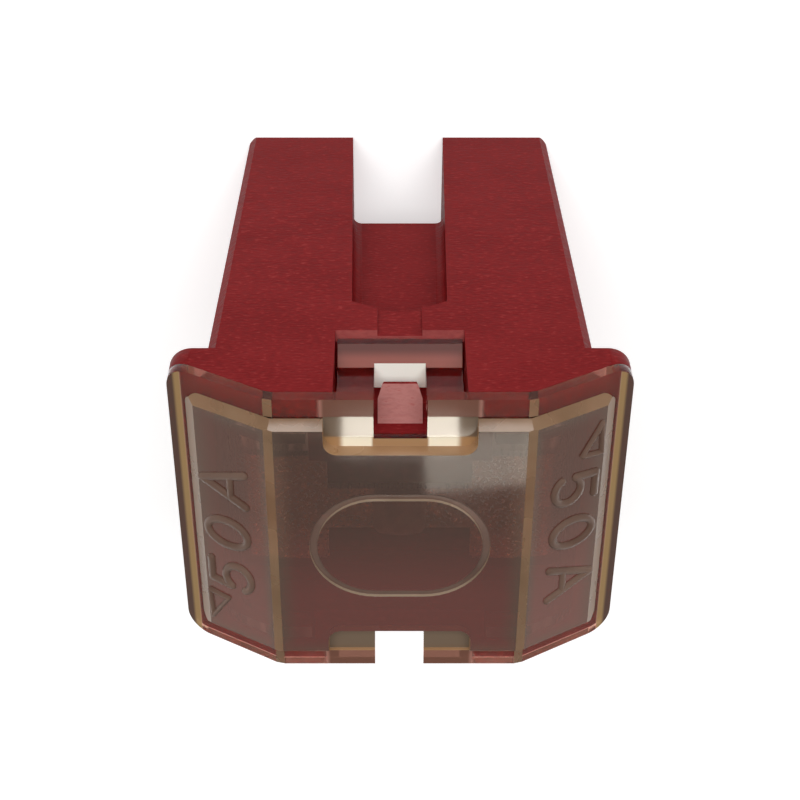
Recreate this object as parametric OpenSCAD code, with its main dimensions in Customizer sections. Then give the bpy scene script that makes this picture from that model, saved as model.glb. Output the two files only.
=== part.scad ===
/* [Overall] */
// Height from the leg tips to the flat top of the cover
overall_h = 19.5; // [17.5:0.1:24]
// Width over the shoulders
overall_w = 15.2; // [14.8:0.1:17]
// Depth over the broad faces
overall_d = 11.4; // [11:0.1:13]

/* [Gabled top] */
// Half width of the flat middle panel, to the middle of its ridge
flat_x = 4.2; // [3.4:0.1:4.8]
// Fall of the two side panels, in degrees
roof_angle = 30; // [22:1:34]
// Width of the narrow flat that eases each ridge
ridge_ease = 0.32; // [0.1:0.02:0.5]

/* [Housing] */
// Overhang of each shoulder past the body
shoulder_w = 1.25; // [1:0.05:1.5]
// Height of the shoulder at its outer edge
shoulder_t = 0.55; // [0.4:0.05:1.2]
// Radius of the shoulder corners seen from above
shoulder_r = 0.8; // [0.5:0.05:1.2]
// Width of the flat that eases each upright edge of the body
edge_ease = 0.3; // [0.15:0.05:0.5]
// Rounding of the leg tips
tip_r = 0.2; // [0.1:0.05:0.4]
// Draft of the side faces and of the leg slot, in degrees
side_draft = 0.9; // [0.3:0.1:1.2]
// Draft of the broad faces, in degrees
face_draft = 0.7; // [0.2:0.1:1]
// Width of a leg from the slot's root to the side of the body
leg_w = 4.72; // [4.6:0.02:4.8]
// Distance from the top of the cover down to the spring of the slot's arch
slot_drop = 6.3; // [6.1:0.1:7]
// Rise of the arch at the root of the slot
arch_rise = 0.5; // [0.2:0.05:0.6]
// Setback of the web between the legs from the broad faces
web_setback = 1.2; // [0.8:0.1:2]
// Distance from the leg tips up to the end of the web
web_end = 5.6; // [4:0.1:8]
// Fillet between the web and the legs
web_fillet = 0.35; // [0.2:0.05:0.6]
// Ledge between a terminal pocket and the narrow end of the fuse chamber
ledge_w = 0.55; // [0.3:0.05:0.8]
// Wall round the fuse chamber at the broad faces
face_wall = 1.1; // [1:0.1:1.4]
// Distance from the top of the cover down to the chamber floor
floor_drop = 5; // [4.7:0.1:5.2]
// Wall between a terminal pocket and the outside of its leg
pocket_wall = 0.75; // [0.6:0.05:0.9]
// Thickness of the leg's end wall
tip_wall = 0.9; // [0.7:0.05:1.5]

/* [Cover] */
// Thickness of the cover from its top face to the joint with the housing
plate_t = 0.8; // [0.7:0.05:1]
// Step from the raised panels down to the rim
rim_step = 0.36; // [0.2:0.02:0.45]
// Width of the rim at the broad faces
rim_face_w = 0.67; // [0.4:0.05:0.8]
// Width of the rim at the narrow ends
rim_end_w = 0.62; // [0.4:0.05:0.8]
// Chamfer round the raised panels
panel_chamfer = 0.3; // [0.1:0.05:0.34]
// Depth of the locating skirt below the cover plate
skirt_h = 0.9; // [0.5:0.1:1.2]
// Thickness of the locating skirt
skirt_t = 0.6; // [0.4:0.05:0.8]
// Length of the oval ring in the middle of the top
ring_l = 6; // [4:0.1:7]
// Width of the oval ring
ring_w = 4.4; // [3:0.1:5]
// Width of the ring's line
ring_line = 0.26; // [0.15:0.01:0.4]
// Depth of the ring's line
ring_depth = 0.12; // [0.05:0.01:0.25]

/* [Latches] */
// Width of a latch tab
tab_w = 4.12; // [3.8:0.02:4.6]
// Thickness of a latch tab
tab_t = 0.85; // [0.7:0.05:1]
// Distance from the top of the cover down to the end of a latch tab
tab_drop = 4.05; // [3.8:0.05:4.2]
// Setback of a latch tab from the broad face
tab_setback = 0.75; // [0.6:0.05:0.9]
// Height of the foot at the end of a latch tab
foot_h = 0.33; // [0.2:0.01:0.5]
// Width of the window in a latch tab
window_w = 1.7; // [1.4:0.05:2]
// Distance from the top of the cover down to the window's lower end
window_drop = 3.35; // [3.1:0.05:3.45]
// Width of the notch in the cover above a latch tab
notch_w = 4.9; // [4.6:0.05:5.4]
// Depth of the notch from the broad face
notch_l = 1.9; // [1.75:0.05:2.1]
// Depth of the notch's floor below the top of the cover
notch_h = 0.5; // [0.42:0.02:0.6]
// Radius of the notch's inner corners
notch_r = 0.45; // [0.2:0.05:0.7]
// Distance from the top of the cover down to the catch's locking face
catch_drop = 2.55; // [2.3:0.05:2.9]
// Height of the catch's ramp
catch_h = 1.15; // [0.9:0.05:1.3]
// Clearance between a latch tab and its recess
tab_gap = 0.08; // [0.05:0.01:0.15]

/* [Fuse strip] */
// Thickness of the sheet
strip_t = 0.4; // [0.3:0.02:0.5]
// Width of the blade that each terminal takes
blade_w = 6.3; // [5.8:0.1:6.5]
// Thickness of the blade that each terminal takes
blade_t = 0.8; // [0.6:0.05:0.9]
// Outer radius of a terminal's rolled edges
roll_r = 0.95; // [0.85:0.01:1]
// Length of a terminal
terminal_l = 8.5; // [6:0.1:9.5]
// Width of the neck above a terminal
neck_w = 4.4; // [3:0.1:5]
// Width of the fusible link
link_w = 1.7; // [1.2:0.05:2.2]
// Distance from the top of the cover down to the link
link_drop = 3.3; // [3:0.05:3.6]
// Bend radius inside the strip's bends
bend_r = 0.35; // [0.2:0.05:0.5]
// Length of the tin bead on the link
bead_l = 1.8; // [1:0.1:2.4]
// Height of the tin bead above the link
bead_h = 0.55; // [0.3:0.05:0.7]

/* [Fits] */
// Clearance between the skirt and the chamber wall
skirt_gap = 0.1; // [0.05:0.01:0.2]
// Clearance between a terminal and its pocket, on each side
pocket_gap = 0.15; // [0.1:0.01:0.25]

/* [Hidden] */
$fn = 48;
eps = 0.02;

face_y = overall_d / 2;
end_x = overall_w / 2;
body_w = overall_w - 2 * shoulder_w;
slot_w = body_w - 2 * leg_w;
panel_x = end_x - rim_end_w;
panel_y = face_y - rim_face_w;
eaves_z = roof_z(end_x) - plate_t;
shoulder_z = eaves_z - shoulder_t;
arch_z = overall_h - slot_drop;
chamber_y = face_y - face_wall;
floor_z = overall_h - floor_drop;
tab_y = face_y - tab_setback;
recess_y = tab_y - tab_t - tab_gap;
recess_x = tab_w / 2 + tab_gap;
recess_z = overall_h - tab_drop - tab_gap;
notch_y = face_y - notch_l;
bay_wall = 0.8;
bay_x = recess_x + bay_wall;
bay_y = recess_y - bay_wall;
catch_z = overall_h - catch_drop;
window_z = overall_h - window_drop;
catch_inset = 0.12;
catch_edge = 0.12;
catch_taper = 0.2;
catch_taper_h = 0.5;
nose_gap = 0.06;
channel_w = 1.5;
channel_depth = 0.15;
lip_chamfer = 0.3;
foot_setback = 0.1;
foot_slope = 0.45;
tab_root = 0.15;

// One terminal lies in each leg, its back plate against the outer pocket wall.
blade_room = 0.25;
chamber_r = 0.5;
pocket_in = slot_half(0) + pocket_wall;
pocket_out = body_half(0) - pocket_wall;
plate_x = pocket_out - pocket_gap;
chamber_x = pocket_out + ledge_w;
roll_y = blade_w / 2 + strip_t - roll_r + blade_room;
pocket_y = roll_y + roll_r + pocket_gap;
entry_x = plate_x - strip_t - blade_t / 2;
entry_w = blade_t + 2 * blade_room;
entry_l = blade_w + 0.6;
entry_flare = 0.35;
terminal_z = tip_wall;
terminal_top = terminal_z + terminal_l;
link_z = overall_h - link_drop;
link_half = bead_l / 2 + 1.55;

// Height of the roof's top face at a distance x from the middle.
function roof_z(x) = overall_h - max(0, abs(x) - flat_x) * tan(roof_angle);
// Half width of the body and of the slot at height z.
function body_half(z) = body_w / 2 - (shoulder_z - z) * tan(side_draft);
function slot_half(z) = slot_w / 2 + (arch_z - z) * tan(side_draft);
// Half depth of the body at height z.
function body_depth(z) = face_y - max(0, shoulder_z - z) * tan(face_draft);
// Points along an arc, centre c, from angle a to angle b.
function arc(c, r, a, b, n = 8) =
    [for (i = [0:n]) c + r * [cos(a + (b - a) * i / n), sin(a + (b - a) * i / n)]];
// The roof line from left to right, lowered by drop, with each ridge eased by a narrow flat.
function roof_line(half, drop) = let (
    u = ridge_ease / 2,
    v = u * cos(roof_angle),
    left = [[-half, roof_z(half)], [-flat_x - v, roof_z(flat_x + v)], [-flat_x + u, overall_h]],
    right = [[flat_x - u, overall_h], [flat_x + v, roof_z(flat_x + v)], [half, roof_z(half)]]
) [for (p = concat(left, right)) p - [0, drop]];
function reversed(list) = [for (i = [len(list) - 1:-1:0]) list[i]];

// Stands an outline drawn in X and Z upright, and carries it through the depth.
module through(depth) {
    rotate([90, 0, 0]) linear_extrude(depth, center = true) children();
}

// Carries an outline drawn in Y and Z along the width.
module across(width) {
    rotate([90, 0, 90]) linear_extrude(width, center = true) children();
}

module rounded_rect(x, y, r) {
    square([2 * x, 2 * (y - r)], center = true);
    square([2 * (x - r), 2 * y], center = true);
    for (i = [-1, 1], j = [-1, 1]) translate([i * (x - r), j * (y - r)]) circle(r);
}

// A layer between two lowered copies of the roof line.
module roof_layer(half, depth, drop, base) {
    through(depth) polygon(concat(roof_line(half, drop), reversed(roof_line(half, base))));
}

module front_and_back() {
    children();
    mirror([0, 1, 0]) children();
}

module left_and_right() {
    children();
    mirror([1, 0, 0]) children();
}

// Half of the body's outline on one face, drafted, with a rounded foot, from the tip up to the shoulder.
function drafted_side(tip, top) = concat(
    arc([tip - tip_r, tip_r], tip_r, 270, 360),
    [[top, shoulder_z]]
);

module drafted_block() {
    side = drafted_side(body_half(0), body_half(shoulder_z));
    face = drafted_side(body_depth(0), face_y);
    intersection() {
        through(overall_d) polygon(concat(side, reversed([for (p = side) [-p.x, p.y]])));
        across(overall_w) polygon(concat(face, reversed([for (p = face) [-p.x, p.y]])));
    }
}

// Each upright edge of the body is eased by a flat that leans with the draft of its two faces.
module drafted_body() {
    lean = atan((tan(side_draft) + tan(face_draft)) / sqrt(2));
    difference() {
        drafted_block();
        for (i = [-1, 1], j = [-1, 1])
            translate([i * (body_w / 2 - edge_ease / 2), j * (face_y - edge_ease / 2), shoulder_z])
                rotate([0, 0, atan2(j, i)]) rotate([0, lean, 0])
                    translate([0, -overall_d / 2, -2 * overall_h])
                        cube([overall_w, overall_d, 2 * overall_h]);
    }
}

module shoulders() {
    intersection() {
        through(2 * face_y) polygon(concat(
            roof_line(end_x, plate_t),
            [[end_x, shoulder_z], [-end_x, shoulder_z]]
        ));
        translate([0, 0, shoulder_z]) linear_extrude(overall_h) rounded_rect(end_x, face_y, shoulder_r);
    }
}

// The slot's outline seen from a broad face: rounded tips, leaning sides, and a low arch at the root.
module slot_outline() {
    radius = (pow(slot_w / 2, 2) + pow(arch_rise, 2)) / (2 * arch_rise);
    bend = asin(slot_w / 2 / radius);
    foot = slot_half(tip_r) + tip_r;
    polygon(concat(
        arc([0, arch_z + arch_rise - radius], radius, 90 - bend, 90 + bend, 16),
        arc([-foot, tip_r], tip_r, 360, 270),
        [[-foot, -1], [foot, -1]],
        arc([foot, tip_r], tip_r, 270, 180)
    ));
}

// The fillet between the web and one leg, leaning with the leg's inner face.
module web_corner() {
    r = web_fillet;
    translate([slot_w / 2, -face_y + web_setback, arch_z]) rotate([0, -side_draft, 0])
        translate([0, 0, -overall_h]) linear_extrude(overall_h) difference() {
            translate([-r, -r]) square([r + 0.3, r + 0.3]);
            translate([-r, -r]) circle(r);
        }
}

// The gap between the legs: open below the web, and a shallow recess before and behind it.
module leg_gap() {
    web_depth = 2 * (face_y - web_setback);
    difference() {
        through(overall_d + 2) slot_outline();
        intersection() {
            union() {
                translate([-overall_w / 2, -web_depth / 2, 0]) cube([overall_w, web_depth, overall_h]);
                front_and_back() left_and_right() web_corner();
            }
            translate([-overall_w, -overall_d, web_end]) cube([2 * overall_w, 2 * overall_d, overall_h]);
        }
    }
}

module chamber() {
    translate([0, 0, floor_z]) linear_extrude(overall_h) difference() {
        rounded_rect(chamber_x, chamber_y, chamber_r);
        for (s = [-1, 1]) translate([-bay_x, s > 0 ? bay_y : -bay_y - overall_d])
            square([2 * bay_x, overall_d]);
    }
}

// The pocket for one terminal, with the blade's flared entry through the leg's end wall.
module terminal_pocket() {
    translate([pocket_in, -pocket_y, tip_wall])
        cube([pocket_out - pocket_in, 2 * pocket_y, floor_z - tip_wall + 1]);
    half = entry_w / 2;
    intersection() {
        through(2 * face_y) polygon([
            [entry_x - half - entry_flare, -eps], [entry_x - half, entry_flare],
            [entry_x - half, tip_wall + 1], [entry_x + half, tip_wall + 1],
            [entry_x + half, entry_flare], [entry_x + half + entry_flare, -eps]
        ]);
        across(2 * overall_w) polygon([
            [-entry_l / 2 - entry_flare, -eps], [-entry_l / 2, entry_flare],
            [-entry_l / 2, tip_wall + 1], [entry_l / 2, tip_wall + 1],
            [entry_l / 2, entry_flare], [entry_l / 2 + entry_flare, -eps]
        ]);
    }
}

// The recess for a latch tab, its lower edge chamfered, and the shallow channel under it.
module tab_recess() {
    translate([-recess_x, -face_y - 1, recess_z])
        cube([2 * recess_x, face_y + 1 - recess_y, overall_h]);
    across(2 * recess_x) polygon([
        [-face_y + lip_chamfer, recess_z + eps], [-face_y - 1, recess_z + eps],
        [-face_y - 1, recess_z - lip_chamfer - 1], [-face_y, recess_z - lip_chamfer]
    ]);
    translate([-channel_w / 2, -face_y - 1, arch_z])
        cube([channel_w, 1 + channel_depth, recess_z - arch_z]);
}

// The wedge that the window of a latch tab snaps over.
module latch_catch() {
    nose = -tab_y + nose_gap;
    root = -recess_y + eps;
    half = window_w / 2 - catch_inset;
    intersection() {
        across(window_w) polygon([
            [root, catch_z], [nose, catch_z], [nose, catch_z + catch_edge], [root, catch_z + catch_h]
        ]);
        through(overall_d) polygon([
            [-half + catch_taper, catch_z], [half - catch_taper, catch_z], [half, catch_z + catch_taper_h],
            [half, overall_h], [-half, overall_h], [-half, catch_z + catch_taper_h]
        ]);
    }
}

module housing() {
    color("firebrick") {
        difference() {
            union() {
                drafted_body();
                shoulders();
            }
            leg_gap();
            chamber();
            left_and_right() terminal_pocket();
            front_and_back() tab_recess();
        }
        front_and_back() latch_catch();
    }
}

// Half space above a chamfer plane that meets the roof at the edge of the panels.
module chamfer_cut(slope) {
    reach = 3 * overall_w;
    for (side = [-1, 1]) {
        translate([slope * flat_x, side * (panel_y - panel_chamfer), overall_h])
            rotate([0, slope * roof_angle, 0]) rotate([-side * 45, 0, 0])
                translate([-reach / 2, -reach / 2, 0]) cube([reach, reach, 2]);
    }
}

module raised_panels() {
    difference() {
        intersection() {
            roof_layer(panel_x, 2 * panel_y, 0, plate_t);
            linear_extrude(2 * overall_h) rounded_rect(panel_x, panel_y, 0.5);
        }
        for (slope = [-1, 0, 1]) chamfer_cut(slope);
        left_and_right() translate([panel_x - panel_chamfer, 0, roof_z(panel_x - panel_chamfer)])
            rotate([0, 60, 0]) translate([-overall_w / 2, -overall_d, 0])
                cube([overall_w, 2 * overall_d, overall_w]);
    }
}

module cover_rim() {
    intersection() {
        roof_layer(end_x, 2 * face_y, rim_step, plate_t);
        linear_extrude(2 * overall_h) rounded_rect(end_x, face_y, shoulder_r);
    }
}

// The skirt stands inside the chamber wall and leaves the latch bays free.
module skirt() {
    x = chamber_x - skirt_gap;
    y = chamber_y - skirt_gap;
    intersection() {
        roof_layer(end_x, 2 * face_y, plate_t - eps, plate_t + skirt_h);
        linear_extrude(2 * overall_h) difference() {
            rounded_rect(x, y, chamber_r);
            rounded_rect(x - skirt_t, y - skirt_t, 0.3);
            square([2 * (bay_x + skirt_gap), overall_d], center = true);
        }
    }
}

module oval_ring() {
    module oval(grow) {
        r = ring_w / 2 - grow;
        for (s = [-1, 1]) translate([s * (ring_l - ring_w) / 2, 0]) circle(r);
        square([ring_l - ring_w, 2 * r], center = true);
    }
    translate([0, 0, overall_h - ring_depth]) linear_extrude(1) difference() {
        oval(0);
        oval(ring_line);
    }
}

// The notch in the raised panels above a latch tab, rounded at its inner corners, behind the rim.
module notch() {
    outer = panel_y + eps;
    translate([0, 0, overall_h - notch_h]) linear_extrude(overall_h) {
        translate([-notch_w / 2, -outer]) square([notch_w, outer - notch_y - notch_r]);
        translate([-notch_w / 2 + notch_r, -outer]) square([notch_w - 2 * notch_r, outer - notch_y]);
        for (s = [-1, 1]) translate([s * (notch_w / 2 - notch_r), -notch_y - notch_r]) circle(notch_r);
    }
}

// A latch tab hangs from the cover plate, set back from the rim, with a foot that leans out at its end.
module latch_tab() {
    root_z = overall_h - plate_t + tab_root;
    foot_z = overall_h - tab_drop;
    foot_y = -face_y + foot_setback;
    inner = -tab_y + tab_t;
    difference() {
        across(tab_w) polygon([
            [-tab_y, root_z], [-tab_y, foot_z + foot_h + foot_slope], [foot_y, foot_z + foot_h],
            [foot_y, foot_z], [inner, foot_z], [inner, root_z]
        ]);
        tab_window(face_y);
    }
}

// The way for the catch, open to the broad face and reaching a given distance in from it.
module tab_window(reach) {
    translate([-window_w / 2, -face_y - 1, window_z]) cube([window_w, 1 + reach, overall_h]);
}

module cover() {
    color([0.55, 0.42, 0.36, 0.7]) {
        difference() {
            union() {
                cover_rim();
                raised_panels();
                skirt();
            }
            oval_ring();
            front_and_back() notch();
            front_and_back() tab_window(tab_setback + tab_t);
        }
        front_and_back() latch_tab();
    }
}

// One rolled edge of a terminal, open on the side of the blade.
module rolled_edge() {
    translate([plate_x - roll_r, roll_y]) difference() {
        circle(roll_r);
        circle(roll_r - strip_t);
        polygon([[0, 0], [-2.2 * roll_r, -0.3], [-2.2 * roll_r, -3 * roll_r],
            [2 * roll_r, -3 * roll_r], [2 * roll_r, 0]]);
    }
}

module terminal_profile() {
    translate([plate_x - strip_t, -roll_y]) square([strip_t, 2 * roll_y]);
    rolled_edge();
    mirror([0, 1]) rolled_edge();
}

// A bend of the strip drawn in X and Z, from angle a over 90 degrees.
module bend(a) {
    rotate(a) intersection() {
        difference() {
            circle(bend_r + strip_t);
            circle(bend_r);
        }
        square(2 * (bend_r + strip_t));
    }
}

// The neck and the link seen from the broad face: up from the terminal, over, and across the middle.
module strip_path() {
    x = plate_x - strip_t;
    top = link_z + strip_t;
    translate([x, terminal_top - eps]) square([strip_t, link_z - bend_r - terminal_top + 2 * eps]);
    translate([x - bend_r, link_z - bend_r]) bend(0);
    translate([0, link_z]) square([x - bend_r + eps, strip_t]);
}

module fuse_strip() {
    color("silver") {
        left_and_right() {
            translate([0, 0, terminal_z]) linear_extrude(terminal_l) terminal_profile();
            intersection() {
                through(neck_w) strip_path();
                union() {
                    translate([link_half, -face_y, 0]) cube([end_x, 2 * face_y, overall_h]);
                    translate([-eps, -link_w / 2, 0]) cube([end_x, link_w, overall_h]);
                }
            }
        }
    }
}

module melt_bead() {
    color("gainsboro") translate([0, 0, link_z + strip_t]) intersection() {
        rotate([90, 0, 0]) linear_extrude(link_w, center = true) intersection() {
            translate([0, -bead_l + bead_h]) circle(bead_l);
            translate([-bead_l / 2, 0]) square([bead_l, bead_h]);
        }
        linear_extrude(2) rounded_rect(bead_l / 2, link_w / 2, 0.3);
    }
}

housing();
cover();
fuse_strip();
melt_bead();
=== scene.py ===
import math

import bmesh
import bpy
import numpy as np
from mathutils import Matrix, Vector


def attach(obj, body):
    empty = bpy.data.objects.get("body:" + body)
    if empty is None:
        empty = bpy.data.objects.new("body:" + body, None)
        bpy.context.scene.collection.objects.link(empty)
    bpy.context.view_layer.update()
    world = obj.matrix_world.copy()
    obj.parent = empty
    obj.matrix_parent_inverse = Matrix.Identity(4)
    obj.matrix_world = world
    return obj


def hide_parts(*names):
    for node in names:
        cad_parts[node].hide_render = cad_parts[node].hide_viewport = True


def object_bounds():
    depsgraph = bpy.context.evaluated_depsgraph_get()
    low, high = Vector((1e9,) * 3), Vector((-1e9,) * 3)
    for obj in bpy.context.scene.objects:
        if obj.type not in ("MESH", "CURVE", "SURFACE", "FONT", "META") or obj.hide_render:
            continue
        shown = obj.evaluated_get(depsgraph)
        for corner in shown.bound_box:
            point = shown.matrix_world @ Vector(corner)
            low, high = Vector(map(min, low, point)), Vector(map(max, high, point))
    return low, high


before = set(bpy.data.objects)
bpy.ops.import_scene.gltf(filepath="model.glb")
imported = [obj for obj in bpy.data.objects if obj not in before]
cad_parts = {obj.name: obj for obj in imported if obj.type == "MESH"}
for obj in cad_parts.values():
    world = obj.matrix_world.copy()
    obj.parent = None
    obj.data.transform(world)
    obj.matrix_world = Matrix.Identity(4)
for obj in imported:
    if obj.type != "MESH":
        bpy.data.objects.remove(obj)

MM = 0.001
cad_low, cad_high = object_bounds()


# The housing is one moulding in red plastic, taken as glass-filled nylon: a forked body with a slot between
# its legs, shoulders that follow the gable of the cover, and a wedge on each broad face that the cover's tabs
# snap over. Its skin has a fine grain with short level streaks.
HOUSING_EDGE = 0.07 * MM
RIDGE_X = 4.2 * MM
ROOF_ANGLE = math.radians(30)
PLATE = 0.8 * MM
JOINT_GAP = 0.01 * MM
NYLON_RED = (0.135, 0.0050, 0.0060, 1.0)
NYLON_RED_WORN = (0.180, 0.0100, 0.0110, 1.0)
# The fleck colour is a painted glint, laid where the streaks are brightest.
NYLON_PAINTED_GLINT = (0.250, 0.0300, 0.0280, 1.0)
# The catch's pinks are a painted sheen, and the lip's reds a painted highlight, over the red nylon.
CATCH_PAINTED_SHEEN = (0.300, 0.095, 0.085, 1.0)
CATCH_PAINTED_SHEEN_PINK = (0.360, 0.130, 0.115, 1.0)
LIP_PAINTED_HIGHLIGHT = (0.200, 0.030, 0.028, 1.0)
LIP_PAINTED_HIGHLIGHT_PINK = (0.240, 0.045, 0.040, 1.0)
CATCH_FOOT = cad_high.z - 2.6 * MM
CLOUD_SHARE = 0.3
STREAKS_PER_METRE = 4200
CLOUDS_PER_METRE = 420
GRAIN_DEPTH = 0.02 * MM
NYLON_IOR = 1.53
MERGE_GAP = 0.002 * MM
FLAT_ANGLE = math.radians(0.5)
SHARP_ANGLE = math.radians(12)
ON_FACE = 0.02 * MM


def node(tree, kind, at, **settings):
    """Adds a node of that kind to a material's tree and sets the named properties on it."""
    made = tree.nodes.new(kind)
    made.location = at
    for name, value in settings.items():
        setattr(made, name, value)
    return made


def new_material(name):
    """A new material with only its shader and its output, its node tree, and the shader."""
    material = bpy.data.materials.new(name)
    material.use_nodes = True
    tree = material.node_tree
    shader = tree.nodes["Principled BSDF"]
    return material, tree, shader


def grain(tree, stretch, scale, detail, at):
    """A noise on Object coordinates, stretched along the axes by the three factors."""
    place = node(tree, "ShaderNodeTexCoord", (at[0] - 600, at[1]))
    turn = node(tree, "ShaderNodeMapping", (at[0] - 400, at[1]))
    turn.inputs["Scale"].default_value = stretch
    noise = node(tree, "ShaderNodeTexNoise", (at[0] - 200, at[1]))
    noise.inputs["Scale"].default_value = scale
    noise.inputs["Detail"].default_value = detail
    tree.links.new(place.outputs["Object"], turn.inputs["Vector"])
    tree.links.new(turn.outputs["Vector"], noise.inputs["Vector"])
    return noise.outputs["Fac"]


def blend_colours(tree, factor, low, high, at, start=0.35, end=0.65):
    """A colour ramp from low to high as the factor goes from start to end."""
    ramp = node(tree, "ShaderNodeValToRGB", at)
    ramp.color_ramp.elements[0].position = start
    ramp.color_ramp.elements[0].color = low
    ramp.color_ramp.elements[1].position = end
    ramp.color_ramp.elements[1].color = high
    tree.links.new(factor, ramp.inputs["Fac"])
    return ramp.outputs["Color"]


def ramp_value(tree, factor, low, high, at, start=0.3, end=0.7):
    """A value from low to high as the factor goes from start to end."""
    scaled = node(tree, "ShaderNodeMapRange", at)
    scaled.interpolation_type = "SMOOTHSTEP"
    scaled.inputs["From Min"].default_value = start
    scaled.inputs["From Max"].default_value = end
    scaled.inputs["To Min"].default_value = low
    scaled.inputs["To Max"].default_value = high
    tree.links.new(factor, scaled.inputs["Value"])
    return scaled.outputs["Result"]


def mix_colours(tree, factor, low, high, at):
    """A mix of two colours, each a socket or a constant, as the factor goes from 0 to 1."""
    mix = node(tree, "ShaderNodeMix", at, data_type="RGBA")
    tree.links.new(factor, mix.inputs["Factor"])
    for socket, colour in ((mix.inputs[6], low), (mix.inputs[7], high)):
        if isinstance(colour, tuple):
            socket.default_value = colour
        else:
            tree.links.new(colour, socket)
    return mix.outputs[2]


def add_bump(tree, shader, height, distance, strength, at):
    """Turns a height into the shader's normal, with the depth of the relief as a distance in metres."""
    bump = node(tree, "ShaderNodeBump", at)
    bump.inputs["Distance"].default_value = distance
    bump.inputs["Strength"].default_value = strength
    tree.links.new(height, bump.inputs["Height"])
    tree.links.new(bump.outputs["Normal"], shader.inputs["Normal"])


def red_nylon(name, low, high, shine):
    """Nylon skin: level streaks in colour, gloss and relief, with painted glints and soft clouds in colour.
    """
    material, tree, shader = new_material(name)
    streaks = grain(tree, (1.0, 1.0, 2.6), STREAKS_PER_METRE, 5, (-500, 300))
    clouds = grain(tree, (1, 1, 1.6), CLOUDS_PER_METRE, 3, (-500, -100))
    both = node(tree, "ShaderNodeMath", (-400, 100), operation="MULTIPLY_ADD")
    both.inputs[1].default_value = CLOUD_SHARE
    tree.links.new(clouds, both.inputs[0])
    rest = node(tree, "ShaderNodeMath", (-450, 250), operation="MULTIPLY")
    rest.inputs[1].default_value = 1 - CLOUD_SHARE
    tree.links.new(streaks, rest.inputs[0])
    tree.links.new(rest.outputs[0], both.inputs[2])
    base = blend_colours(tree, both.outputs[0], low, high, (-250, 300), 0.4, 0.62)
    # Pink spots where the streaks are brightest are painted glints.
    painted_glints = ramp_value(tree, streaks, 0.0, 0.6, (-250, 500), 0.56, 0.74)
    tree.links.new(mix_colours(tree, painted_glints, base, NYLON_PAINTED_GLINT, (-100, 300)), shader.inputs["Base Color"])
    tree.links.new(ramp_value(tree, streaks, 0.34, 0.55, (-250, 0)), shader.inputs["Roughness"])
    add_bump(tree, shader, streaks, GRAIN_DEPTH, 0.6, (-250, -250))
    shader.inputs["IOR"].default_value = NYLON_IOR
    shader.inputs["Specular IOR Level"].default_value = shine
    return material


def eased_copy(source, name, width, segments=2):
    """A copy of a CAD node's mesh, points merged and flat faces joined, with its sharp edges rounded."""
    shape = bmesh.new()
    shape.from_mesh(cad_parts[source].data)
    bmesh.ops.remove_doubles(shape, verts=shape.verts, dist=MERGE_GAP)
    bmesh.ops.dissolve_limit(shape, angle_limit=FLAT_ANGLE, verts=shape.verts, edges=shape.edges)
    mesh = bpy.data.meshes.new(name)
    shape.to_mesh(mesh)
    shape.free()
    piece = bpy.data.objects.new(name, mesh)
    bpy.context.scene.collection.objects.link(piece)
    rounding = piece.modifiers.new("eased_edges", "BEVEL")
    rounding.width = width
    rounding.segments = segments
    rounding.limit_method = "ANGLE"
    rounding.angle_limit = SHARP_ANGLE
    flat_shading = piece.modifiers.new("flat_faces", "WEIGHTED_NORMAL")
    flat_shading.mode = "FACE_AREA"
    flat_shading.weight = 100
    for face in mesh.polygons:
        face.use_smooth = True
    return piece


def roof_height(x):
    """Height of the cover's top face: level up to the ridges, then falling by the roof angle."""
    return cad_high.z - np.maximum(0, np.abs(x) - RIDGE_X) * math.tan(ROOF_ANGLE)


def face_arrays(mesh):
    """The middles and the normals of a mesh's faces, one row for each face."""
    centres = np.empty(len(mesh.polygons) * 3)
    normals = np.empty(len(mesh.polygons) * 3)
    mesh.polygons.foreach_get("center", centres)
    mesh.polygons.foreach_get("normal", normals)
    return centres.reshape(-1, 3), normals.reshape(-1, 3)


housing = eased_copy("housing", "housing_moulding", HOUSING_EDGE)
housing.data.materials.clear()
housing.data.materials.append(red_nylon("red_nylon", NYLON_RED, NYLON_RED_WORN, 0.03))
housing.data.materials.append(red_nylon("polished_catch_painted_sheen", CATCH_PAINTED_SHEEN, CATCH_PAINTED_SHEEN_PINK, 0.3))
housing.data.materials.append(red_nylon("lip_painted_highlight", LIP_PAINTED_HIGHLIGHT, LIP_PAINTED_HIGHLIGHT_PINK, 0.1))
points = np.empty(len(housing.data.vertices) * 3)
housing.data.vertices.foreach_get("co", points)
points = points.reshape(-1, 3)
on_joint = np.abs(roof_height(points[:, 0]) - PLATE - points[:, 2]) < ON_FACE
points[on_joint, 2] -= JOINT_GAP
housing.data.vertices.foreach_set("co", points.ravel())
middle, facing = face_arrays(housing.data)
# The ramp of each catch is material 1, polished, its pink colour a painted sheen; the chamfered lip below
# each tab is material 2, its pink colour a painted highlight.
ramp = (np.abs(middle[:, 0]) < 0.8 * MM) & (facing[:, 2] > 0.5) & (facing[:, 2] < 0.8)
finish = np.select([ramp & (middle[:, 2] > CATCH_FOOT), ramp], [1, 2], 0)
housing.data.polygons.foreach_set("material_index", finish.astype(np.int32))
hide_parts("housing")
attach(housing, "root")


# The fuse strip is one stamping in tin-plated copper alloy: two box terminals with rolled edges, their necks,
# and the narrow link between them. It is pushed down into the legs before the cover goes on.
TIN = (0.62, 0.60, 0.56, 1.0)
TIN_DULL = (0.42, 0.40, 0.37, 1.0)


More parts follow.
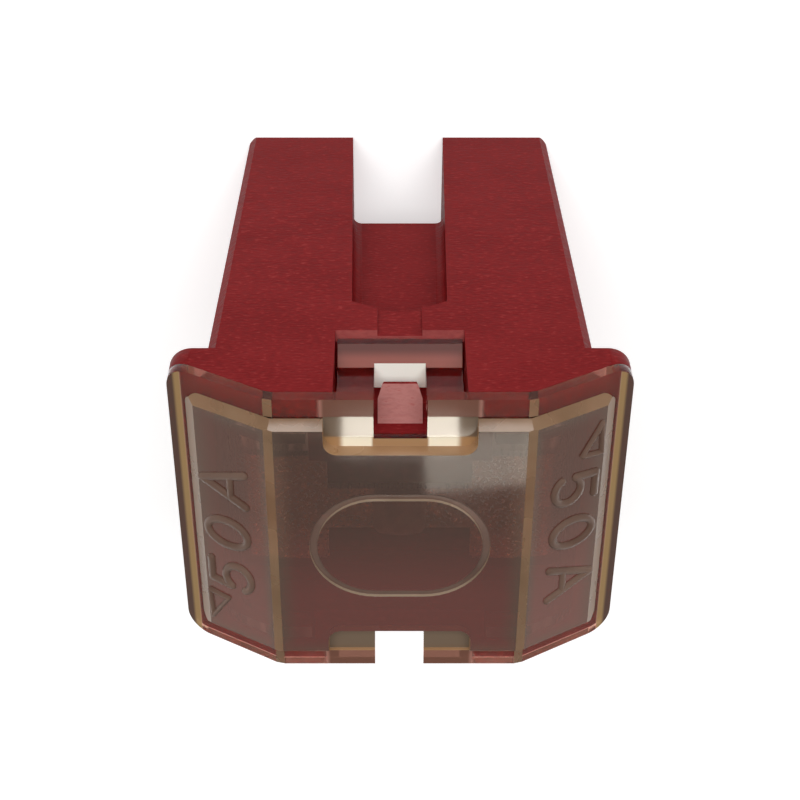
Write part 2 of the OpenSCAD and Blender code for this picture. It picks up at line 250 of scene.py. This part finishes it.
def tinned_copper():
    """Satin tin with fine lines up the strip."""
    material, tree, shader = new_material("tinned_copper")
    lines = grain(tree, (8, 8, 1), 900, 4, (-500, 300))
    tint = blend_colours(tree, lines, TIN_DULL, TIN, (-250, 300))
    tree.links.new(tint, shader.inputs["Base Color"])
    tree.links.new(ramp_value(tree, lines, 0.22, 0.42, (-250, 0)), shader.inputs["Roughness"])
    shader.inputs["Metallic"].default_value = 1.0
    return material


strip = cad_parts["fuse_strip"]
strip.data.materials.clear()
strip.data.materials.append(tinned_copper())


# The melt bead is a chip of soft tin pressed on to the middle of the link. On a long overload it melts and
# dissolves the copper under it, which sets the slow blow.
BEAD_GREY = (0.45, 0.45, 0.46, 1.0)
BEAD_PALE = (0.62, 0.62, 0.62, 1.0)


def cast_tin():
    """Dull cast tin with a faint mottle."""
    material, tree, shader = new_material("cast_tin")
    mottle = grain(tree, (1, 1, 1), 2500, 3, (-500, 300))
    tint = blend_colours(tree, mottle, BEAD_GREY, BEAD_PALE, (-250, 300))
    tree.links.new(tint, shader.inputs["Base Color"])
    tree.links.new(ramp_value(tree, mottle, 0.35, 0.6, (-250, 0)), shader.inputs["Roughness"])
    shader.inputs["Metallic"].default_value = 1.0
    return material


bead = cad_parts["melt_bead"]
bead.data.materials.clear()
bead.data.materials.append(cast_tin())


# The cover is one moulding in clear plastic with a smoky amber tint: raised panels over a narrow rim, a ring
# in the middle, and a tab at each broad face that snaps over the catch of the housing. Each kind of face has
# a tint of its own.
# Many of these tints are painted light: highlights on the edges, the ring, the sill, the ledges and the tabs'
# feet, red glows and reflections in the panels and outer faces, and shade on the rim.
COVER_EDGE = 0.05 * MM
RIM_STEP = 0.36 * MM
PANEL_X = 6.98 * MM
PANEL_Y = 5.03 * MM
NOTCH_FLOOR = cad_high.z - 0.5 * MM
WINDOW_END = cad_high.z - 3.35 * MM
ARM_START = 0.90 * MM
ARM_GLOW = 1.75 * MM
ARM_END = 2.40 * MM
RIM_END_X = 7.05 * MM
LEDGE_GLOW = 4.12 * MM
FOOT_TOP = cad_high.z - 3.27 * MM
# Over the arms the rim is darkened with painted shade; at its ends it is painted gold as a highlight, with a
# dark painted shade line outside.
RIM_PAINTED_SHADE = (0.190, 0.085, 0.058, 1.0)
RIM_CLEAR = (1.000, 0.500, 0.400, 1.0)
RIM_PAINTED_GOLD_HIGHLIGHT = (0.450, 0.290, 0.125, 1.0)
RIM_PAINTED_SHADE_LINE = (0.120, 0.065, 0.050, 1.0)
LEDGE_DARK = (0.160, 0.110, 0.072, 1.0)
# The gold and cream at the near ledge's inner end are a painted highlight.
LEDGE_PAINTED_GOLD = (0.360, 0.200, 0.090, 1.0)
LEDGE_PAINTED_CREAM = (0.940, 0.850, 0.660, 1.0)
FOOT_BROWN = (0.150, 0.038, 0.028, 1.0)
# The pink at the top of the tab's foot is a painted highlight.
FOOT_PAINTED_HIGHLIGHT = (0.370, 0.100, 0.072, 1.0)
# The panels redden towards the far side, a painted glow of the red housing seen through them; the side
# panels' lighter tint is a painted reflection; the tan at ridges and edges is a painted highlight.
SMOKE = (0.185, 0.112, 0.085, 1.0)
SMOKE_PAINTED_FAR_RED = (0.360, 0.140, 0.115, 1.0)
SIDE_SMOKE_PAINTED_REFLECTION = (0.260, 0.100, 0.070, 1.0)
SIDE_PAINTED_FAR_RED = (0.430, 0.155, 0.125, 1.0)
EDGE_PAINTED_HIGHLIGHT = (0.280, 0.185, 0.135, 1.0)
FAR_START = -4.0 * MM
HAZE_PER_METRE = 420
# Each plain finish: its name, its two tints, the share of light that passes through, its roughness and its
# index of refraction, which is often lower than a real clear plastic has.
CLEAR_FINISHES_AND_PAINTED_LIGHT = (
    ("clear_body", (1.00, 0.46, 0.38, 1.0), (1.00, 0.54, 0.45, 1.0), 1.0, 0.06, 1.2),
    # The tan of the ridges and chamfers below is a painted edge highlight.
    ("tan_edge_painted_highlight", (0.29, 0.165, 0.085, 1.0), (0.39, 0.235, 0.13, 1.0), 0.45, 0.22, 1.5),
    # The near-white sill below is a painted highlight.
    ("sill_painted_highlight", (0.97, 0.94, 0.84, 1.0), (1.00, 0.98, 0.90, 1.0), 0.0, 0.30, 1.5),
    ("gold_wall", (0.34, 0.185, 0.085, 1.0), (0.42, 0.24, 0.12, 1.0), 0.1, 0.20, 1.5),
    # The outer faces are two copies of one amber: the near copy's deeper red is a painted glow of the red
    # housing seen through it, the far copy's tan a painted highlight.
    ("amber_near_painted_light", (0.90, 0.30, 0.22, 1.0), (0.96, 0.38, 0.28, 1.0), 0.95, 0.12, 1.15),
    ("amber_far_painted_light", (0.56, 0.37, 0.22, 1.0), (0.64, 0.44, 0.28, 1.0), 0.85, 0.15, 1.25),
    # The pale walls of the ring's groove below are a painted highlight.
    ("ring_wall_painted_highlight", (0.36, 0.26, 0.18, 1.0), (0.48, 0.37, 0.27, 1.0), 0.2, 0.20, 1.5),
    ("ring_tan", (0.200, 0.125, 0.095, 1.0), (0.270, 0.175, 0.135, 1.0), 0.45, 0.15, 1.4),
)


def clear_base(name, transmission, roughness, ior):
    """Clear moulded plastic with a cloudy gloss; transmission is the share of light that passes through."""
    material, tree, shader = new_material(name)
    haze = grain(tree, (1, 1, 1), HAZE_PER_METRE, 3, (-500, 300))
    gloss = ramp_value(tree, haze, roughness, roughness * 1.5, (-250, 0))
    tree.links.new(gloss, shader.inputs["Roughness"])
    shader.inputs["Transmission Weight"].default_value = transmission
    shader.inputs["IOR"].default_value = ior
    return material, tree, shader, haze


def clear_plastic(name, low, high, transmission, roughness, ior):
    """Clear plastic whose tint goes from low to high with its cloudiness."""
    material, tree, shader, haze = clear_base(name, transmission, roughness, ior)
    tree.links.new(blend_colours(tree, haze, low, high, (-250, 300)), shader.inputs["Base Color"])
    return material


def place_along(tree, axis, at):
    """The place along one axis, from Object coordinates."""
    place = node(tree, "ShaderNodeTexCoord", (at[0] - 400, at[1]))
    axes = node(tree, "ShaderNodeSeparateXYZ", (at[0] - 200, at[1]))
    tree.links.new(place.outputs["Object"], axes.inputs["Vector"])
    return axes.outputs[axis]


def distance_along(tree, axis, at):
    """The distance from the piece's middle along one axis."""
    size = node(tree, "ShaderNodeMath", at, operation="ABSOLUTE")
    tree.links.new(place_along(tree, axis, (at[0] - 200, at[1])), size.inputs[0])
    return size.outputs[0]


def combine(tree, rule, first, second, at):
    """One value from two, by their product, minimum or maximum."""
    made = node(tree, "ShaderNodeMath", at, operation=rule)
    tree.links.new(first, made.inputs[0])
    tree.links.new(second, made.inputs[1])
    return made.outputs[0]


def smoky_panel(name, low, high):
    """The tint runs from low to high along Y, a painted red glow of the housing seen through the far side,
    and turns tan towards the ridges and edges, a painted highlight.
    """
    material, tree, shader, _ = clear_base(name, 0.66, 0.04, 1.46)
    across = distance_along(tree, "X", (-1300, 500))
    along = distance_along(tree, "Y", (-1300, 100))
    share = ramp_value(tree, place_along(tree, "Y", (-1300, 900)), 0.0, 1.0, (-1100, 900), -PANEL_Y, PANEL_Y)
    tint = blend_colours(tree, share, low, high, (-900, 900), 0.35, 0.8)
    rise = ramp_value(tree, across, 0.0, 1.0, (-1100, 600), 0.80 * RIDGE_X, RIDGE_X)
    fall = ramp_value(tree, across, 1.0, 0.0, (-1100, 400), RIDGE_X, 1.12 * RIDGE_X)
    side = ramp_value(tree, across, 0.0, 1.0, (-1100, 200), 0.86 * PANEL_X, PANEL_X)
    end = ramp_value(tree, along, 0.0, 1.0, (-1100, 0), 0.82 * PANEL_Y, PANEL_Y)
    painted_glow = combine(tree, "MINIMUM", rise, fall, (-900, 500))
    painted_glow = combine(tree, "MAXIMUM", painted_glow, side, (-700, 400))
    painted_glow = combine(tree, "MAXIMUM", painted_glow, end, (-500, 300))
    tree.links.new(mix_colours(tree, painted_glow, tint, EDGE_PAINTED_HIGHLIGHT, (-300, 700)), shader.inputs["Base Color"])
    return material


def clear_rim_painted_light():
    """The rim is clear, but dark over the arms beside the windows, a painted shade, and gold with a dark line
    at its ends, a painted highlight and a painted shade line.
    """
    material, tree, shader, _ = clear_base("clear_rim_painted_light", 0.95, 0.08, 1.2)
    across = distance_along(tree, "X", (-1300, 700))
    clear = ramp_value(tree, across, 0.0, 1.0, (-1100, 900), ARM_END, ARM_END + 0.3 * MM)
    side = ramp_value(tree, across, 0.0, 1.0, (-1100, 700), RIM_END_X, RIM_END_X + 0.1 * MM)
    outer = ramp_value(tree, across, 0.0, 1.0, (-1100, 500), RIM_END_X + 0.22 * MM, RIM_END_X + 0.36 * MM)
    middle = blend_colours(tree, clear, RIM_PAINTED_SHADE, RIM_CLEAR, (-800, 900), 0.0, 1.0)
    ends = blend_colours(tree, outer, RIM_PAINTED_GOLD_HIGHLIGHT, RIM_PAINTED_SHADE_LINE, (-800, 600), 0.0, 1.0)
    tree.links.new(mix_colours(tree, side, middle, ends, (-500, 700)), shader.inputs["Base Color"])
    over_arms = ramp_value(tree, clear, 0.20, 0.95, (-800, 300), 0.0, 1.0)
    at_ends = ramp_value(tree, side, 0.95, 0.35, (-800, 100), 0.0, 1.0)
    share = combine(tree, "MINIMUM", over_arms, at_ends, (-500, 300))
    tree.links.new(share, shader.inputs["Transmission Weight"])
    return material


def polished_ledge_painted_glow():
    """A polished dark ledge. The inner end of the near one has a painted highlight, cream on the arms and
    gold elsewhere.
    """
    material, tree, shader, _ = clear_base("polished_ledge_painted_glow", 0.0, 0.03, 1.5)
    y = place_along(tree, "Y", (-1300, 800))
    across = distance_along(tree, "X", (-1300, 400))
    inner = ramp_value(tree, y, 0.0, 1.0, (-1100, 900), -LEDGE_GLOW - 0.1 * MM, -LEDGE_GLOW)
    near = ramp_value(tree, y, 1.0, 0.0, (-1100, 700), 0.0, 1.0 * MM)
    inner = combine(tree, "MULTIPLY", inner, near, (-800, 800))
    start = ramp_value(tree, across, 0.0, 1.0, (-1100, 500), ARM_START - 0.05 * MM, ARM_START + 0.05 * MM)
    stop = ramp_value(tree, across, 1.0, 0.0, (-1100, 300), ARM_GLOW, ARM_GLOW + 0.25 * MM)
    arm = combine(tree, "MULTIPLY", start, stop, (-800, 400))
    painted_glow = blend_colours(tree, arm, LEDGE_PAINTED_GOLD, LEDGE_PAINTED_CREAM, (-600, 500), 0.0, 1.0)
    tint = mix_colours(tree, inner, LEDGE_DARK, painted_glow, (-300, 700))
    tree.links.new(tint, shader.inputs["Base Color"])
    return material


def tab_foot():
    """The foot's slope is half clear, and its tint runs from brown low down to a painted pink highlight at
    its top.
    """
    material, tree, shader, _ = clear_base("tab_foot", 0.4, 0.15, 1.2)
    z = place_along(tree, "Z", (-1300, 900))
    share = ramp_value(tree, z, 0.0, 1.0, (-1100, 900), FOOT_TOP - 0.36 * MM, FOOT_TOP - 0.14 * MM)
    tint = blend_colours(tree, share, FOOT_BROWN, FOOT_PAINTED_HIGHLIGHT, (-800, 900), 0.0, 1.0)
    tree.links.new(tint, shader.inputs["Base Color"])
    return material


cover = eased_copy("cover", "cover_moulding", COVER_EDGE)
cover.data.materials.clear()
paints = [clear_plastic(*finish) for finish in CLEAR_FINISHES_AND_PAINTED_LIGHT]
paints += [smoky_panel("smoky_middle_painted_light", SMOKE, SMOKE_PAINTED_FAR_RED), smoky_panel("smoky_side_painted_light", SIDE_SMOKE_PAINTED_REFLECTION, SIDE_PAINTED_FAR_RED)]
paints += [clear_rim_painted_light(), polished_ledge_painted_glow(), tab_foot()]
for paint in paints:
    cover.data.materials.append(paint)
middle, facing = face_arrays(cover.data)
tilt = np.degrees(np.arccos(np.clip(facing[:, 2], -1, 1)))
x, y, z = np.abs(middle[:, 0]), np.abs(middle[:, 1]), middle[:, 2]
below = roof_height(x) - z
outside = (x > cad_high.x - 0.05 * MM) | (y > cad_high.y - 0.05 * MM)
panel = (tilt < 35) & (below < ON_FACE)
ridge = (tilt > 5) & (tilt < 25)
chamfer = (tilt > 35) & (tilt < 80) & (below < RIM_STEP) & (below > 0)
rim_top = (tilt < 35) & (np.abs(below - RIM_STEP) < 0.05 * MM)
groove_floor = (tilt < 5) & (below > 0.05 * MM) & (below < 0.2 * MM)
groove_wall = (tilt > 85) & (tilt < 95) & (below < 0.2 * MM) & (x < 3.2 * MM) & (y < 2.4 * MM)
notch_wall = (tilt > 85) & (tilt < 95) & (z > NOTCH_FLOOR) & (x < 2.6 * MM) & (y > 2.4 * MM)
ledge = (tilt < 5) & (np.abs(z - NOTCH_FLOOR) < ON_FACE)
sill = (tilt < 5) & (np.abs(z - WINDOW_END) < ON_FACE)
foot = (tilt > 28) & (tilt < 42) & (z < WINDOW_END) & (x < 2.2 * MM)
kinds = (
    ("ring_wall_painted_highlight", groove_wall),
    ("amber_far_painted_light", outside & (middle[:, 1] > FAR_START)),
    ("amber_near_painted_light", outside),
    ("gold_wall", notch_wall),
    ("sill_painted_highlight", sill),
    ("polished_ledge_painted_glow", ledge),
    ("tab_foot", foot),
    ("tan_edge_painted_highlight", ridge | chamfer),
    ("smoky_side_painted_light", panel & (x > RIDGE_X)),
    ("ring_tan", groove_floor),
    ("smoky_middle_painted_light", panel),
    ("clear_rim_painted_light", rim_top),
)
names = [paint.name for paint in paints]
finish = np.select(
    [faces for name, faces in kinds], [names.index(name) for name, faces in kinds], names.index("clear_body")
)
cover.data.polygons.foreach_set("material_index", finish.astype(np.int32))
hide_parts("cover")
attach(cover, "root")


# The rating and a small triangle stand proud on each sloping panel, cut into the mould of the cover. Their
# tops point away from the ridge, and the two sides read in opposite directions.
STROKE_WIDTH = 0.30 * MM
STROKE_HEIGHT = 0.12 * MM
THIN_WIDTH = 0.17 * MM
RELIEF_DENSE = (0.17, 0.100, 0.072, 1.0)
RELIEF_THIN = (0.25, 0.16, 0.12, 1.0)
SECTION_POINTS = 16
PATH_POINTS = 48
CAP_POINTS = 6


def ellipse_path(centre, half, start, end):
    """Points of an ellipse with those half axes, from the start angle to the end angle in degrees."""
    angle = np.radians(np.linspace(start, end, PATH_POINTS))
    return np.stack([centre[0] + half[0] * np.cos(angle), centre[1] + half[1] * np.sin(angle)], axis=1) * MM


def line_path(start, end):
    """Evenly spaced points of a straight stroke."""
    share = np.linspace(0, 1, 8)[:, None]
    return ((1 - share) * np.array(start) + share * np.array(end)) * MM


def raised_stroke(path, width, closed):
    """A flattened round bar carried along the path, half of it above the panel.

    Each section is an ellipse across the path: half the width sideways, and the stroke's height up and down.
    An open path ends in a round cap, where the sections shrink with the cosine of an angle that goes to 80
    degrees, while they move on with its sine.
    """
    along = np.roll(path, -1, axis=0) - np.roll(path, 1, axis=0) if closed else np.gradient(path, axis=0)
    along /= np.linalg.norm(along, axis=1)[:, None]
    size = np.ones(len(path))
    if not closed:
        turn = np.radians(np.linspace(80, 0, CAP_POINTS, endpoint=False))
        first = path[0] - along[0] * (width / 2 * np.sin(turn))[:, None]
        last = path[-1] + along[-1] * (width / 2 * np.sin(turn[::-1]))[:, None]
        path = np.concatenate([first, path, last])
        ahead = np.repeat(along[:1], CAP_POINTS, 0)
        behind = np.repeat(along[-1:], CAP_POINTS, 0)
        along = np.concatenate([ahead, along, behind])
        size = np.concatenate([np.cos(turn), size, np.cos(turn[::-1])])
    sideways = np.stack([-along[:, 1], along[:, 0]], axis=1)
    angle = np.linspace(0, 2 * np.pi, SECTION_POINTS, endpoint=False)
    flat = path[:, None, :] + sideways[:, None, :] * (size[:, None] * np.cos(angle) * width / 2)[:, :, None]
    up = size[:, None] * np.sin(angle) * STROKE_HEIGHT
    return np.concatenate([flat, up[:, :, None]], axis=2), closed


def tube_faces(rings, closed):
    """Quads between neighbouring sections, and a flat face over each end of an open bar."""
    count = rings if closed else rings - 1
    i, j = np.meshgrid(np.arange(count), np.arange(SECTION_POINTS), indexing="ij")
    i, j = i.ravel(), j.ravel()
    after, beside = (i + 1) % rings, (j + 1) % SECTION_POINTS
    quads = np.stack([i, after, after, i], axis=1) * SECTION_POINTS + np.stack([j, j, beside, beside], axis=1)
    faces = quads.tolist()
    if not closed:
        faces.append(list(range(SECTION_POINTS)))
        faces.append(list(range(rings * SECTION_POINTS - 1, (rings - 1) * SECTION_POINTS - 1, -1)))
    return faces


def rating_strokes(shift):
    """The strokes of the rating and its triangle, along the reading direction and up from the ridge."""
    five, nought, letter = -2.05 + shift, -0.15 + shift, 1.92 + shift
    tip = -4.25 + shift / 2
    bars = [
        (line_path((five - 0.36, 2.60), (five + 0.50, 2.60)), STROKE_WIDTH, False),
        (line_path((five - 0.36, 2.60), (five - 0.44, 1.80)), STROKE_WIDTH, False),
        (ellipse_path((five, 1.50), (0.52, 0.52), 145, -150), STROKE_WIDTH, False),
        (ellipse_path((nought, 1.82), (0.53, 0.80), 0, 352.5), STROKE_WIDTH, True),
        (line_path((letter - 0.66, 1.00), (letter, 2.72)), STROKE_WIDTH, False),
        (line_path((letter + 0.66, 1.00), (letter, 2.72)), STROKE_WIDTH, False),
        (line_path((letter - 0.42, 1.58), (letter + 0.42, 1.58)), STROKE_WIDTH * 0.8, False),
        (line_path((tip, 2.70), (tip + 1.20, 2.76)), THIN_WIDTH, False),
        (line_path((tip + 1.20, 2.76), (tip + 1.10, 1.98)), THIN_WIDTH, False),
        (line_path((tip + 1.10, 1.98), (tip, 2.70)), THIN_WIDTH, False),
    ]
    return [raised_stroke(*bar) for bar in bars]


def rating_on_panel(name, side, shift):
    """Lays the strokes on the sloping panel of that side, +1 or -1 along X."""
    reading = np.array([0, -side, 0])
    upright = np.array([side * math.cos(ROOF_ANGLE), 0, -math.sin(ROOF_ANGLE)])
    proud = np.array([side * math.sin(ROOF_ANGLE), 0, math.cos(ROOF_ANGLE)])
    ridge_foot = np.array([side * RIDGE_X, 0, cad_high.z])
    points, faces = [], []
    for grid, closed in rating_strokes(shift):
        start = sum(len(part) for part in points)
        flat = grid.reshape(-1, 3)
        points.append(ridge_foot + flat[:, :1] * reading + flat[:, 1:2] * upright + flat[:, 2:] * proud)
        faces += [[start + corner for corner in face] for face in tube_faces(len(grid), closed)]
    mesh = bpy.data.meshes.new(name)
    mesh.from_pydata(np.concatenate(points).tolist(), [], faces)
    mesh.polygons.foreach_set("use_smooth", np.ones(len(faces), dtype=bool))
    piece = bpy.data.objects.new(name, mesh)
    bpy.context.scene.collection.objects.link(piece)
    piece.data.materials.append(relief_tan)
    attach(piece, "root")
    return piece


relief_tan = clear_plastic("relief_tan", RELIEF_DENSE, RELIEF_THIN, 0.4, 0.50, 1.15)
rating_on_panel("rating_left", 1, 0.0)
rating_on_panel("rating_right", -1, 0.25)


# The floor is a pale sheet that isn't part of the fuse. Soft studio lights stand round it: a large bank in
# front, a low one behind at each side, and two small warm windows high up behind, which the near ledges and
# the middle panel mirror.
FLOOR_HALF = 4.0
FLOOR_PALE = (0.93, 0.93, 0.93, 1.0)
FLOOR_GLOW = 0.35
ROOM_LIGHT = 0.25
floor_mesh = bpy.data.meshes.new("floor")
corners = [(a * FLOOR_HALF, b * FLOOR_HALF, 0.0) for a, b in ((-1, -1), (1, -1), (1, 1), (-1, 1))]
floor_mesh.from_pydata(corners, [], [(0, 1, 2, 3)])
floor = bpy.data.objects.new("floor", floor_mesh)
bpy.context.scene.collection.objects.link(floor)
floor_paint, floor_tree, floor_shader = new_material("floor_paint")
floor_shader.inputs["Base Color"].default_value = FLOOR_PALE
floor_shader.inputs["Roughness"].default_value = 0.9
floor_shader.inputs["Emission Color"].default_value = (1.0, 1.0, 1.0, 1.0)
floor_shader.inputs["Emission Strength"].default_value = FLOOR_GLOW
floor_mesh.materials.append(floor_paint)

NOTCH = Vector((0, -4.4, 19.0)) * MM
WARM = (1.0, 0.93, 0.80)


def add_light(name, azimuth, elevation, distance, width, height, power, colour=(1.0, 1.0, 1.0)):
    """A rectangle of light that faces the cover from a bearing: azimuth 0 is in front, at -Y, 90 is at +X."""
    a, e = math.radians(azimuth), math.radians(elevation)
    back = Vector((math.sin(a) * math.cos(e), -math.cos(a) * math.cos(e), math.sin(e)))
    data = bpy.data.lights.new(name, "AREA")
    data.shape = "RECTANGLE"
    data.size = width
    data.size_y = height
    data.energy = power
    data.color = colour
    lamp = bpy.data.objects.new(name, data)
    lamp.location = NOTCH + back * distance
    lamp.rotation_mode = "QUATERNION"
    lamp.rotation_quaternion = (-back).to_track_quat("-Z", "Y")
    bpy.context.scene.collection.objects.link(lamp)
    return lamp


add_light("front_bank", 0, 52, 0.45, 0.45, 0.25, 2.0)
add_light("back_window", 180.67, 53.75, 0.30, 0.0255, 0.007, 0.0092, WARM)
add_light("side_window", 187, 52.4, 0.30, 0.030, 0.012, 0.0045, WARM)
add_light("left_bank", -131, 17, 0.40, 0.30, 0.16, 0.10, WARM)
add_light("right_bank", 131, 17, 0.40, 0.30, 0.16, 0.10, WARM)

world = bpy.data.worlds.new("studio")
world.use_nodes = True
world.node_tree.nodes["Background"].inputs["Color"].default_value = (1, 1, 1, 1)
world.node_tree.nodes["Background"].inputs["Strength"].default_value = ROOM_LIGHT
bpy.context.scene.world = world
bpy.context.scene.view_settings.view_transform = "Standard"


# The camera stands in front of the cover and above it, and is rolled over, so that the legs point up in the
# picture and +X is to the left, as the photograph shows the fuse.
IMAGE_SIZE = 800
FOCAL_PIXELS = 1583.0
TILT = math.radians(54.8)
CAMERA_PLACE = Vector((0.35, -34.17, 59.5)) * MM
LENS_SHIFT = 0.0133

down = Vector((0, math.sin(TILT), math.cos(TILT)))
ahead = Vector((0, math.cos(TILT), -math.sin(TILT)))
right = Vector((-1, 0, 0))
camera_data = bpy.data.cameras.new("camera")
camera_data.sensor_width = 36.0
camera_data.lens = 36.0 * FOCAL_PIXELS / IMAGE_SIZE
camera_data.shift_x = LENS_SHIFT
camera_data.clip_start = 0.002
camera_data.clip_end = 20.0
camera = bpy.data.objects.new("camera", camera_data)
turned = Matrix((right, -down, -ahead)).transposed()
camera.matrix_world = Matrix.Translation(CAMERA_PLACE) @ turned.to_4x4()
bpy.context.scene.collection.objects.link(camera)
bpy.context.scene.camera = camera
